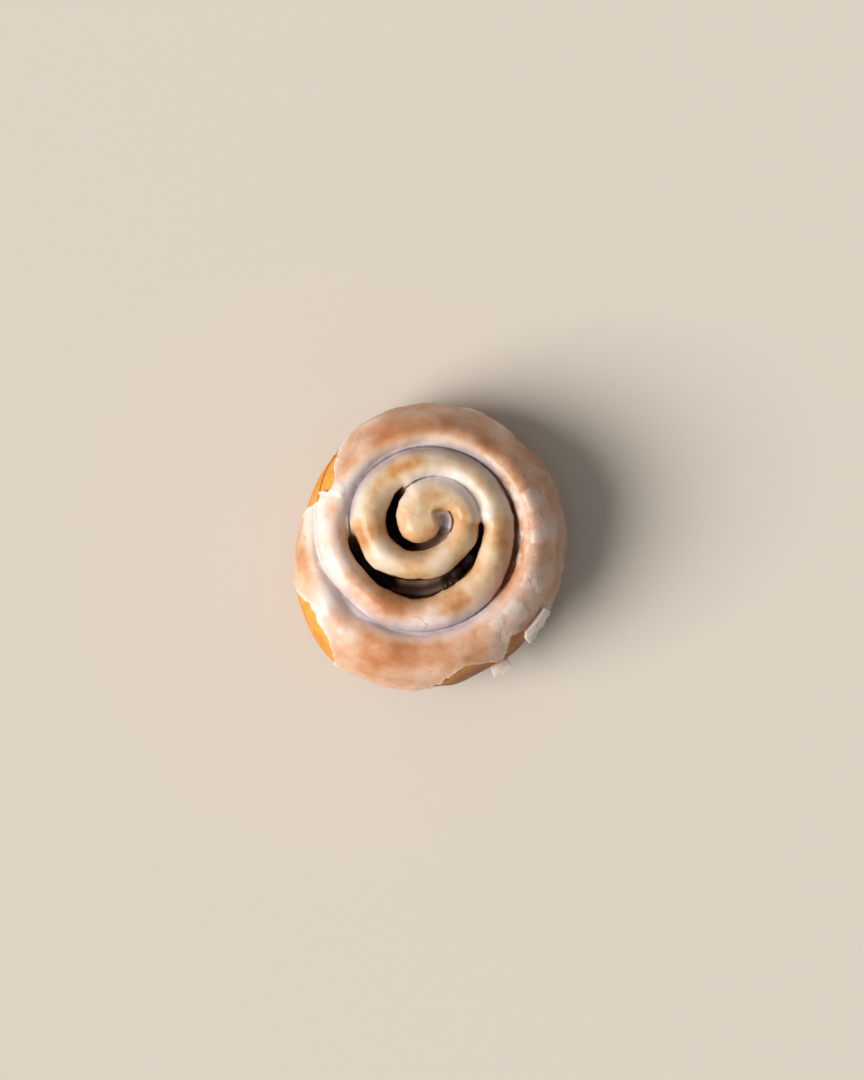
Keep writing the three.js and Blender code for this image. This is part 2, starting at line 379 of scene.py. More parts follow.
        # The top, from wall to wall, with its points closest where it rounds over.
        across = (1 - np.cos(np.linspace(0, math.pi, self.top_points)))[None, :] / 2
        radius = wall_in + (edge - wall_in) * across
        x, y = spiral.place(turned, radius)
        share_in = bun.share(*spiral.place(turned, wall_in))
        share = share_in + (1 - share_in) * across
        share = np.minimum(bun.share(x, y), 1) * (1 - outside) + share * outside
        level = bun.height(share)
        width = np.minimum(self.lip_width, (edge - wall_in) / 2)
        drop_in = self.lip(radius - wall_in, width) * spiral.parting(turned)
        drop_out = self.lip(edge - radius, width) * spiral.parting(turned + TURN) * (1 - outside)
        drop_out = drop_out * np.clip((side - gap_out) / 2 / self.thin_lip, 0, 1)
        height = level - drop_in - drop_out + self.puff * self.risen(turned, radius, gap_in, edge)

        # The inner wall, up from its foot, with its points closest near the top.
        rise = np.linspace(0, 1, self.wall_points, endpoint=False)[None, :] ** self.crowding
        wall_z = foot + (height[:, :1] - foot) * rise
        wall_lean = self.lean(wall_z, share_in)
        wall_x, wall_y = (c * wall_lean for c in spiral.place(turned, wall_in + 0 * rise))

        # The outer wall or the side, down to the foot.
        fall = np.linspace(0, 1, self.side_points + 1)[None, 1:]
        inner_z = height[:, -1:] + (foot - height[:, -1:]) * fall ** (1 / self.crowding)
        inner_lean = self.lean(inner_z, bun.share(*spiral.place(turned, edge)))
        inner_x, inner_y = (c * inner_lean for c in spiral.place(turned, edge + 0 * fall))
        side_z = height[:, -1:] * (1 - fall)
        out_x, out_y = spiral.place(turned, side)
        side_x, side_y = out_x * bun.side_share(side_z), out_y * bun.side_share(side_z)
        down_z = inner_z * (1 - outside) + side_z * outside
        down_x = inner_x * (1 - outside) + side_x * outside
        down_y = inner_y * (1 - outside) + side_y * outside

        x = np.hstack([wall_x, x, down_x])
        y = np.hstack([wall_y, y, down_y])
        z = np.hstack([wall_z, height, down_z])
        level = np.hstack([level[:, :1] + 0 * rise, level, level[:, -1:] + 0 * fall])
        radius = np.hstack([wall_in + 0 * rise, radius, edge + 0 * fall])
        return {
            "points": np.stack([x, y, z], axis=-1),
            "turned": turned + 0 * x,
            "level": level,
            "radius": radius,
            "gap_in": gap_in + 0 * x,
            "gap_out": gap_out + 0 * x,
            "outside": outside + 0 * x,
        }


# ---------------------------------------------------------------- making meshes


def deselect() -> None:
    """Leave nothing selected, so that the next operator acts only on what it is given."""
    bpy.ops.object.select_all(action="DESELECT")


def select_only(piece: bpy.types.Object) -> None:
    """Select one object and make it the active one."""
    deselect()
    piece.select_set(True)
    bpy.context.view_layer.objects.active = piece


def points_of(piece: bpy.types.Object) -> np.ndarray:
    """Give a mesh's points in millimetres."""
    flat = np.empty(len(piece.data.vertices) * 3)
    piece.data.vertices.foreach_get("co", flat)
    return flat.reshape(-1, 3) / MM


def set_points(piece: bpy.types.Object, points: np.ndarray) -> None:
    """Set a mesh's points, given in millimetres."""
    piece.data.vertices.foreach_set("co", (np.asarray(points) * MM).ravel())
    piece.data.update()


def lay_sheet(name: str, points: np.ndarray) -> bpy.types.Object:
    """Wrap a flat sheet onto a grid of points and close it into a tube with stopped ends.

    Args:
        name: Name of the new object.
        points: Grid of points in millimetres, one row a section, going round all but its last side.

    Returns:
        The closed object, with its faces outwards.
    """
    points = np.concatenate([points, points[:, :1]], axis=1)
    rows, columns = points.shape[0] - 1, points.shape[1] - 1
    deselect()
    bpy.ops.mesh.primitive_grid_add(x_subdivisions=rows, y_subdivisions=columns, size=1.0)
    piece = bpy.context.active_object
    piece.name = piece.data.name = name
    flat = points_of(piece) * MM + 0.5
    row = np.rint(flat[:, 0] * rows).astype(int)
    column = np.rint(flat[:, 1] * columns).astype(int)
    set_points(piece, points[row, column])
    stop_up(piece, seam=(column == 0) | (column == columns))
    return piece


def stop_up(piece: bpy.types.Object, seam: np.ndarray) -> None:
    """Sew a wrapped sheet's long edges together, close its ends, and turn its faces outwards.

    Args:
        piece: The wrapped sheet.
        seam: Which of its points are on a long edge.
    """
    select_points(piece, seam)
    bpy.ops.object.mode_set(mode="EDIT")
    bpy.ops.mesh.select_mode(type="VERT")
    bpy.ops.mesh.remove_doubles(threshold=SEWING_DISTANCE)
    bpy.ops.mesh.select_all(action="DESELECT")
    bpy.ops.mesh.select_non_manifold(extend=False)
    bpy.ops.mesh.fill_holes(sides=0)
    bpy.ops.mesh.select_all(action="SELECT")
    bpy.ops.mesh.normals_make_consistent(inside=False)
    bpy.ops.object.mode_set(mode="OBJECT")
    if volume_of(piece) < 0:
        bpy.ops.object.mode_set(mode="EDIT")
        bpy.ops.mesh.flip_normals()
        bpy.ops.object.mode_set(mode="OBJECT")


def volume_of(piece: bpy.types.Object) -> float:
    """Give the volume inside a mesh in cubic millimetres: below zero if its faces point inwards."""
    mesh = piece.data
    mesh.calc_loop_triangles()
    corners = np.empty(len(mesh.loop_triangles) * 3, dtype=int)
    mesh.loop_triangles.foreach_get("vertices", corners)
    a, b, c = points_of(piece)[corners.reshape(-1, 3)].transpose(1, 0, 2)
    return float(np.einsum("ij,ij->i", a, np.cross(b, c)).sum() / 6)


def apply_modifier(piece: bpy.types.Object, kind: str, **settings: object) -> None:
    """Add a modifier to a piece, set it, and apply it."""
    select_only(piece)
    modifier = piece.modifiers.new(kind.lower(), kind)
    for name, value in settings.items():
        setattr(modifier, name, value)
    bpy.ops.object.modifier_apply(modifier=modifier.name)


def select_points(piece: bpy.types.Object, wanted: np.ndarray) -> None:
    """Select one piece, and only those of its points that the mask marks."""
    select_only(piece)
    piece.data.vertices.foreach_set("select", wanted)
    for group in (piece.data.edges, piece.data.polygons):
        group.foreach_set("select", np.zeros(len(group), dtype=bool))


def delete_points(piece: bpy.types.Object, unwanted: np.ndarray) -> None:
    """Delete a mesh's points, and the faces on them, where the mask marks them."""
    select_points(piece, unwanted)
    bpy.ops.object.mode_set(mode="EDIT")
    bpy.ops.mesh.select_mode(type="VERT")
    bpy.ops.mesh.delete(type="VERT")
    bpy.ops.object.mode_set(mode="OBJECT")


def set_attribute(piece: bpy.types.Object, name: str, values: np.ndarray) -> None:
    """Store one number a point on a mesh, for its material to read."""
    attribute = piece.data.attributes.new(name, "FLOAT", "POINT")
    attribute.data.foreach_set("value", np.asarray(values, dtype=np.float32))


def smooth_faces(piece: bpy.types.Object) -> None:
    """Shade all of a piece's faces smooth."""
    select_only(piece)
    bpy.ops.object.shade_smooth()


# ---------------------------------------------------------------- finishes


def linear(colour: str) -> tuple[float, float, float, float]:
    """Turn an sRGB hex colour, such as "#c88c44", into linear light with full alpha."""
    parts = [int(colour[i : i + 2], 16) / 255 for i in (1, 3, 5)]
    return (*(c / 12.92 if c <= 0.04045 else ((c + 0.055) / 1.055) ** 2.4 for c in parts), 1.0)


class Nodes:
    """A node tree, with a short way to add to it."""

    def __init__(self, tree: bpy.types.NodeTree) -> None:
        """Start from an empty tree."""
        self.tree = tree
        self.tree.nodes.clear()

    def add(
        self, kind: str, links: dict | None = None, stops: dict[float, str] | None = None, **settings: object
    ) -> bpy.types.Node:
        """Add a node with its settings and links.

        Args:
            kind: The node's class, without its ShaderNode prefix.
            links: What feeds each input: another node's output, or a plain value.
            stops: The places and sRGB colours of its ramp, if it has one.
            settings: Attributes of the node itself.

        Returns:
            The node.
        """
        node = self.tree.nodes.new("ShaderNode" + kind)
        for name, value in settings.items():
            setattr(node, name, value)
        for key, value in (links or {}).items():
            if isinstance(value, bpy.types.NodeSocket):
                self.tree.links.new(value, node.inputs[key])
            else:
                node.inputs[key].default_value = value
        for i, (place, colour) in enumerate(sorted((stops or {}).items())):
            elements = node.color_ramp.elements
            element = elements[i] if i < len(elements) else elements.new(1.0)
            element.position, element.color = place, linear(colour)
        return node


class Finish:
    """A finish: a named material that any piece can be given."""

    name = "finish"

    def material(self) -> bpy.types.Material:
        """Give the material, made the first time it is asked for."""
        made = bpy.data.materials.get(self.name)
        if made is None:
            made = bpy.data.materials.new(self.name)
            made.use_nodes = True
            self.build(Nodes(made.node_tree))
        return made

    def build(self, nodes: Nodes) -> None:
        """Fill in the node tree."""
        raise NotImplementedError

    def dress(self, piece: bpy.types.Object) -> None:
        """Give a piece this finish and no other."""
        piece.data.materials.clear()
        piece.data.materials.append(self.material())


@dataclass(frozen=True)
class BakedCrust(Finish):
    """Egg-washed crust of enriched dough: amber, browner low down and on the blisters, with fine pores."""

    name: str = "baked crust"
    browns: tuple[tuple[float, str], ...] = (
        (0.0, "#6f3a16"), (0.25, "#9a561d"), (0.5, "#c47a26"), (0.75, "#df9731"), (1.0, "#edb04c"),
    )  # fmt: skip
    stain_and_shade: str = "#22100a"
    wrinkle_mm: float = 2.4
    pore_mm: float = 1.0

    def build(self, nodes: Nodes) -> None:
        """Brown the crust by height and blotches, paint shade on one side, and stain the walls of the gap
        with filling, painted darker further down the gap as shade.
        """
        place = nodes.add("TexCoord").outputs["Object"]
        height = nodes.add("SeparateXYZ", {0: place}).outputs["Z"]
        blotch = nodes.add("TexNoise", {"Vector": place, "Scale": 90.0, "Detail": 4.0, "Roughness": 0.6})
        mottle = nodes.add("TexNoise", {"Vector": place, "Scale": 420.0, "Detail": 5.0, "Roughness": 0.7})
        brown = nodes.add("MapRange", {0: height, 1: 0.0, 2: 0.034, 3: 0.14, 4: 0.86}).outputs[0]
        for pattern, amount in ((blotch, 0.9), (mottle, 0.6)):
            swing = nodes.add(
                "Math", {0: pattern.outputs["Fac"], 1: amount, 2: -amount / 2}, operation="MULTIPLY_ADD"
            ).outputs[0]
            brown = nodes.add("Math", {0: brown, 1: swing}, operation="ADD").outputs[0]
        # Painted shade: the crust on the lower right, the side away from the light, is darkened.
        painted_side_shade = nodes.add("Attribute", attribute_name="painted_side_shade").outputs["Fac"]
        brown = nodes.add("Math", {0: painted_side_shade, 1: -0.42, 2: brown}, operation="MULTIPLY_ADD").outputs[0]
        crust = nodes.add("ValToRGB", {0: brown}, stops=dict(self.browns)).outputs["Color"]
        # Near-black on the gap's walls: the filling's stain, and painted shade where the gap runs deep.
        stained_and_shaded = nodes.add("Attribute", attribute_name="stain_and_shade").outputs["Fac"]
        colour = nodes.add("Mix", {0: stained_and_shaded, 6: crust, 7: linear(self.stain_and_shade)}, data_type="RGBA").outputs[2]
        wrinkles = nodes.add(
            "TexNoise", {"Vector": place, "Scale": 1000.0 / self.wrinkle_mm, "Detail": 4.0, "Distortion": 0.8}
        ).outputs["Fac"]
        pores = nodes.add("TexVoronoi", {"Vector": place, "Scale": 1000.0 / self.pore_mm}).outputs["Distance"]
        relief = nodes.add("Math", {0: pores, 1: 0.25, 2: wrinkles}, operation="MULTIPLY_ADD").outputs[0]
        bump = nodes.add("Bump", {"Height": relief, "Strength": 0.4, "Distance": 0.0005}).outputs[0]
        rough = nodes.add("MapRange", {0: mottle.outputs["Fac"], 3: 0.42, 4: 0.66}).outputs[0]
        shader = nodes.add(
            "BsdfPrincipled", {"Base Color": colour, "Roughness": rough, "Normal": bump, "IOR": 1.44}
        )
        nodes.add("OutputMaterial", {"Surface": shader.outputs[0]})


@dataclass(frozen=True)
class CinnamonSyrup(Finish):
    """Cinnamon, butter and brown sugar, melted to a near-black syrup with grains in it: wet and lumpy."""

    name: str = "cinnamon syrup"
    browns: tuple[tuple[float, str], ...] = ((0.3, "#120504"), (0.55, "#2a0e08"), (0.75, "#54250f"))
    grain_mm: float = 1.4

    def build(self, nodes: Nodes) -> None:
        """Mix dark browns in grains, under a wet surface."""
        place = nodes.add("TexCoord").outputs["Object"]
        grains = nodes.add(
            "TexNoise", {"Vector": place, "Scale": 1000.0 / self.grain_mm, "Detail": 4.0}
        ).outputs["Fac"]
        colour = nodes.add("ValToRGB", {0: grains}, stops=dict(self.browns)).outputs["Color"]
        bump = nodes.add("Bump", {"Height": grains, "Strength": 0.6, "Distance": 0.0004}).outputs[0]
        shader = nodes.add(
            "BsdfPrincipled", {"Base Color": colour, "Roughness": 0.62, "Normal": bump, "IOR": 1.44}
        )
        nodes.add("OutputMaterial", {"Surface": shader.outputs[0]})


@dataclass(frozen=True)
class SugarGlaze(Finish):
    """Set icing-sugar glaze: milky where thick, satin-glossy, and showing the baked top where thin."""

    name: str = "sugar glaze"
    outer_tones: tuple[tuple[float, str], ...] = (
        (0.0, "#b9764a"), (0.2, "#cb9066"), (0.45, "#dcb092"), (0.7, "#e6c9ba"), (1.0, "#ebdfd8"),
    )  # fmt: skip
    inner_tones: tuple[tuple[float, str], ...] = (
        (0.0, "#bd7d45"), (0.2, "#d2a270"), (0.45, "#dfc29f"), (0.7, "#e8d5c2"), (1.0, "#eee6e0"),
    )  # fmt: skip
    pooled: str = "#b5a7b0"
    dried_and_shaded: str = "#a0693c"
    plate_rim: str = "#e9ddd6"
    cracked: str = "#7a4224"
    hairline: str = "#a8714c"
    syrup_line: str = "#45262a"
    syrup_film_and_shade: str = "#52301f"
    syrup_seep_and_shade: str = "#6c3018"
    caramel: str = "#c4803c"
    speck: str = "#6a4328"
    speck_mm: float = 3.0
    plate_mm: float = 12.0
    hairline_mm: float = 21.0

    def build(self, nodes: Nodes) -> None:
        """Colour the glaze by how thick it lies and by what is under it, crack it where it has dried, and
        paint shade on its right-hand side and down in the gap.
        """
        place = nodes.add("TexCoord").outputs["Object"]
        depth, valley, away, line, film_and_shade, seep_and_shade, warm, rime, inner, dry_and_shaded = (
            nodes.add("Attribute", attribute_name=name).outputs["Fac"]
            for name in ("depth", "valley", "away", "line", "film_and_shade", "seep_and_shade", "warm", "rime", "inner", "dry_and_shaded")
        )

        # How milky it is: by depth, in soft clouds, finer wisps and grain.
        clouds, wisps, grain = (
            nodes.add("TexNoise", {"Vector": place, "Scale": scale, "Detail": detail, **rest}).outputs["Fac"]
            for scale, detail, rest in (
                (95.0, 2.0, {"Roughness": 0.45}),
                (300.0, 4.0, {"Distortion": 0.6}),
                (900.0, 3.0, {"Roughness": 0.6}),
            )
        )
        body = nodes.add("MapRange", {0: depth, 1: 0.1, 2: 1.15, 3: -0.5, 4: 0.5}).outputs[0]
        for pattern, amount in ((clouds, 0.6), (wisps, 0.26), (grain, 0.14)):
            body = nodes.add("Math", {0: pattern, 1: amount, 2: body}, operation="MULTIPLY_ADD").outputs[0]
        outer = nodes.add("ValToRGB", {0: body}, stops=dict(self.outer_tones)).outputs["Color"]
        middle = nodes.add("ValToRGB", {0: body}, stops=dict(self.inner_tones)).outputs["Color"]
        tone = nodes.add("Mix", {0: inner, 6: outer, 7: middle}, data_type="RGBA").outputs[2]

        # Plates and cracks where it has dried, and a few hairlines elsewhere. The browner dried colour on the
        # right-hand side is also painted shade.
        warp = nodes.add("TexNoise", {"Vector": place, "Scale": 120.0, "Detail": 2.0}).outputs["Color"]
        warped = nodes.add(
            "VectorMath", {0: warp, 1: (0.007,) * 3, 2: place}, operation="MULTIPLY_ADD"
        ).outputs[0]
        plates, cells = (
            nodes.add("TexVoronoi", {"Vector": warped, "Scale": 1000.0 / size_mm}, feature="DISTANCE_TO_EDGE")
            .outputs["Distance"]
            for size_mm in (self.plate_mm, self.hairline_mm)
        )
        rim = nodes.add("MapRange", {0: plates, 1: 0.02, 2: 0.13, 3: 0.3, 4: 0.0}).outputs[0]
        crack = nodes.add("MapRange", {0: plates, 1: 0.003, 2: 0.018, 3: 0.8, 4: 0.0}).outputs[0]
        hair = nodes.add("MapRange", {0: cells, 1: 0.001, 2: 0.009, 3: 0.45, 4: 0.0}).outputs[0]
        some = nodes.add("MapRange", {0: clouds, 1: 0.56, 2: 0.62}).outputs[0]
        patchy = nodes.add("MapRange", {0: clouds, 1: 0.44, 2: 0.56}).outputs[0]
        patchy = nodes.add("Math", {0: patchy, 1: dry_and_shaded}, operation="MULTIPLY").outputs[0]
        for colour, amount, where in (
            (self.dried_and_shaded, 0.68, dry_and_shaded), (self.plate_rim, rim, patchy), (self.cracked, crack, patchy),
            (self.hairline, hair, some),
        ):  # fmt: skip
            mask = nodes.add("Math", {0: amount, 1: where}, operation="MULTIPLY").outputs[0]
            tone = nodes.add("Mix", {0: mask, 6: tone, 7: linear(colour)}, data_type="RGBA").outputs[2]

        # Milky pools over the gap, the thin dark line in the crease, and down in the gap the dark syrup film,
        # which is also painted shade that deepens as the glaze sinks below the top.
        beside = nodes.add("Math", {0: away}, operation="ABSOLUTE").outputs[0]
        unsteady = nodes.add("Math", {0: wisps, 1: -0.5, 2: 0.25}, operation="MULTIPLY_ADD").outputs[0]
        beside = nodes.add("Math", {0: beside, 1: unsteady}, operation="SUBTRACT").outputs[0]
        thread = nodes.add("MapRange", {0: beside, 1: 0.12, 2: 0.6, 3: 1.0, 4: 0.0}).outputs[0]
        thread = nodes.add("Math", {0: thread, 1: line}, operation="MULTIPLY").outputs[0]
        specks = nodes.add("TexVoronoi", {"Vector": place, "Scale": 1000.0 / self.speck_mm})
        specks = specks.outputs["Distance"]
        dot = nodes.add("MapRange", {0: specks, 1: 0.03, 2: 0.06, 3: 0.45, 4: 0.0}).outputs[0]
        broken = nodes.add("MapRange", {0: wisps, 1: 0.44, 2: 0.56}).outputs[0]
        flecks = nodes.add("Math", {0: rime, 1: broken}, operation="MULTIPLY").outputs[0]
        for colour, mask in (
            (self.pooled, valley), (self.caramel, warm), (self.syrup_line, thread), (self.syrup_film_and_shade, film_and_shade),
            (self.syrup_seep_and_shade, seep_and_shade), (self.plate_rim, flecks), (self.speck, dot),
        ):  # fmt: skip
            tone = nodes.add("Mix", {0: mask, 6: tone, 7: linear(colour)}, data_type="RGBA").outputs[2]

        ripples = nodes.add("TexNoise", {"Vector": place, "Scale": 260.0, "Detail": 3.0}).outputs["Fac"]
        torn = nodes.add("Math", {0: crack, 1: patchy}, operation="MULTIPLY").outputs[0]
        relief = nodes.add("Math", {0: torn, 1: -1.2, 2: ripples}, operation="MULTIPLY_ADD").outputs[0]
        relief = nodes.add("Math", {0: grain, 1: 0.3, 2: relief}, operation="MULTIPLY_ADD").outputs[0]
        bump = nodes.add("Bump", {"Height": relief, "Strength": 0.2, "Distance": 0.0008}).outputs[0]
        rough = nodes.add("MapRange", {0: wisps, 3: 0.3, 4: 0.5}).outputs[0]
        rough = nodes.add("Math", {0: film_and_shade, 1: 0.45, 2: rough}, operation="MULTIPLY_ADD").outputs[0]
        coat = nodes.add("MapRange", {0: film_and_shade, 3: 0.18, 4: 0.0}).outputs[0]
        shader = nodes.add(
            "BsdfPrincipled",
            {
                "Base Color": tone,
                "Roughness": rough,
                "Normal": bump,
                "IOR": 1.49,
                "Subsurface Weight": 0.18,
                "Subsurface Radius": (1.0, 0.62, 0.4),
                "Subsurface Scale": 0.0015,
                "Coat Weight": coat,
                "Coat Roughness": 0.22,
            },
        )
        nodes.add("OutputMaterial", {"Surface": shader.outputs[0]})


@dataclass(frozen=True)
class StudioPaper(Finish):
    """Matt off-white backdrop paper."""

    name: str = "studio paper"
    colour: str = "#d9d2c8"

    def build(self, nodes: Nodes) -> None:
        """Make a plain matt surface."""
        shader = nodes.add("BsdfPrincipled", {"Base Color": linear(self.colour), "Roughness": 0.9})
        nodes.add("OutputMaterial", {"Surface": shader.outputs[0]})


# ---------------------------------------------------------------- the pieces


@dataclass
class Dough:
    """The strip of dough, wound up and baked."""

    skin: StripSkin = field(default_factory=StripSkin)
    finish: Finish = field(default_factory=BakedCrust)
    steps: int = 880
    gap_more: float = 0.55
    # Where the walls are painted dark: the filling's stain, and painted shade down in the gap.
    stain_and_shade_beside: tuple[float, float] = (1.4, 2.6)
    stain_and_shade_below: tuple[float, float] = (2.8, 5.2)
    stain_and_shade_to: float = 905.0
    stain_and_shade_within: float = 0.93
    # Bearing and spread of the painted shade on the side away from the light.
    painted_side_shade_at: float = -55.0
    painted_side_shade_over: float = 45.0

    def build(self) -> bpy.types.Object:
        """Wind the strip, let it swell, stain the walls of its gap with filling and painted shade, and paint
        shade on one side.

        Returns:
            The baked dough.
        """
        grid = self.skin.skin(self.steps, self.gap_more, foot=0.0)
        points = self.skin.baked(grid["points"])
        points[..., 2] = np.maximum(points[..., 2], 0.0)
        piece = lay_sheet("baked_dough", points)
        self.stain_and_shade(piece)
        smooth_faces(piece)
        self.finish.dress(piece)
        return piece

    def stain_and_shade(self, piece: bpy.types.Object) -> None:
        """Mark how dark the filling has stained each point, with painted shade down in the gap, and the
        painted shade on one side of the crust.
        """
        points = points_of(piece)
        spiral, bun = self.skin.spiral, self.skin.spiral.bun
        away, at = spiral.nearest_gap(points[:, 0], points[:, 1])
        share = bun.share(points[:, 0], points[:, 1])
        deep = bun.height(np.minimum(share, 1)) - points[:, 2]
        ragged = lumps(points, 4.0, seed=9)
        beside = np.abs(away) - np.maximum(spiral.opening(at), 0) + 0.2 * ragged
        # Dark beside the gap and further down in it: the filling's stain, with painted shade deeper below the
        # top.
        stained_and_shaded = 1 - smoothstep(beside, *self.stain_and_shade_beside)
        stained_and_shaded = stained_and_shaded * smoothstep(deep + 0.5 * ragged, *self.stain_and_shade_below)
        stained_and_shaded = stained_and_shaded * (at < self.stain_and_shade_to) * (share < self.stain_and_shade_within)
        underside = (points[:, 2] < 0.4) * (1 - smoothstep(np.abs(away) + 0.3 * ragged, 0.9, 1.6))
        set_attribute(piece, "stain_and_shade", np.clip(np.maximum(stained_and_shaded, underside * 0.8), 0, 1))
        # Painted shade: darker crust round one bearing, on the side away from the light.
        bearing = np.degrees(np.arctan2(points[:, 1], points[:, 0]))
        set_attribute(piece, "painted_side_shade", bell(angle_from(bearing, self.painted_side_shade_at), self.painted_side_shade_over))


@dataclass
class Filling:
    """The cinnamon filling: a ribbon standing between the turns, ragged along its top."""

    spiral: Spiral = field(default_factory=Spiral)
    finish: Finish = field(default_factory=CinnamonSyrup)
    steps: int = 600
    below_top: float = 14.5
    foot: float = 0.35
    rows: int = 14
    start: float = 6.0
    end_short: float = 95.0
    bite: float = 0.75  # how far it goes into the wall on each side
    rounding: float = 1.5

    def build(self) -> bpy.types.Object:
        """Wind the ribbon along the gap.

        Returns:
            The filling.
        """
        spiral, bun = self.spiral, self.spiral.bun
        turned = np.linspace(self.start, spiral.last - self.end_short, self.steps + 1)[:, None]
        radius = spiral.gap_radius(turned)
        x, y = spiral.place(turned, radius)
        middle = np.stack([x, y, 0 * x], axis=-1)
        crest = bun.height(np.minimum(bun.share(x, y), 1)) - self.below_top
        crest = crest + 1.3 * lumps(middle, 9.0, seed=21) + 0.5 * lumps(middle, 3.0, seed=22)
        half = np.clip(spiral.opening(turned), 0.25, 3.0) + self.bite
        up = np.sin(np.linspace(0, math.pi / 2, self.rows))[None, :]
        left_z = self.foot + (crest - self.foot) * up
        near_top = np.clip((left_z - crest + self.rounding) / self.rounding, 0, 1)
        round_top = np.sqrt(np.clip(1 - near_top**2, 0.02, 1))
        section_r = np.hstack([radius - half * round_top, radius + (half * round_top)[:, ::-1]])
        section_z = np.hstack([left_z, left_z[:, ::-1]])
        x, y = spiral.place(turned, section_r)
        piece = lay_sheet("cinnamon_filling_strip", np.stack([x, y, section_z], axis=-1))
        smooth_faces(piece)
        self.finish.dress(piece)
        return piece


@dataclass(frozen=True)
class Flake:
    """A chip of set glaze that has lifted and stands out from the side.

    Its outline is (outwards, along), anticlockwise seen from above.
    """

    middle: tuple[float, float, float]
    bearing: float
    fall: float
    outline: tuple[tuple[float, float], ...]
    thickness: float = 1.1
    rounding: float = 0.2
    warp: float = 0.25

    def build(self) -> bpy.types.Object:
        """Cut the chip out, tip its outer edge down, and put it in its place.

        Returns:
            The chip.
        """
        deselect()
        count = len(self.outline)
        bpy.ops.mesh.primitive_cylinder_add(vertices=count, radius=1.0, depth=1.0, end_fill_type="NGON")
        piece = bpy.context.active_object
        flat = points_of(piece) * MM
        corner = np.arctan2(flat[:, 1], flat[:, 0]) / (2 * math.pi / count)
        corner = np.floor(corner + 0.1).astype(int) % count
        out, along = np.array(self.outline)[corner].T
        up = np.sign(flat[:, 2]) * self.thickness / 2 * np.interp(out, (-3.0, 3.0), (1.2, 0.6))
        fall, way = math.radians(self.fall), math.radians(self.bearing)
        away = out * math.cos(fall) + up * math.sin(fall)
        x = self.middle[0] + away * math.cos(way) - along * math.sin(way)
        y = self.middle[1] + away * math.sin(way) + along * math.cos(way)
        z = self.middle[2] - out * math.sin(fall) + up * math.cos(fall)
        set_points(piece, np.stack([x, y, z], axis=-1))
        apply_modifier(piece, "BEVEL", width=self.rounding * MM, segments=2)
        points = points_of(piece)
        warp = np.stack([lumps(points, 6.0, seed=71 + axis) for axis in range(3)], axis=-1)
        set_points(piece, points + self.warp * warp)
        return piece


class GapSide(Enum):
    """The side of the strip that faces a gap: the value is the way outwards from the gap to the strip."""

    INNER = 1
    OUTER = -1


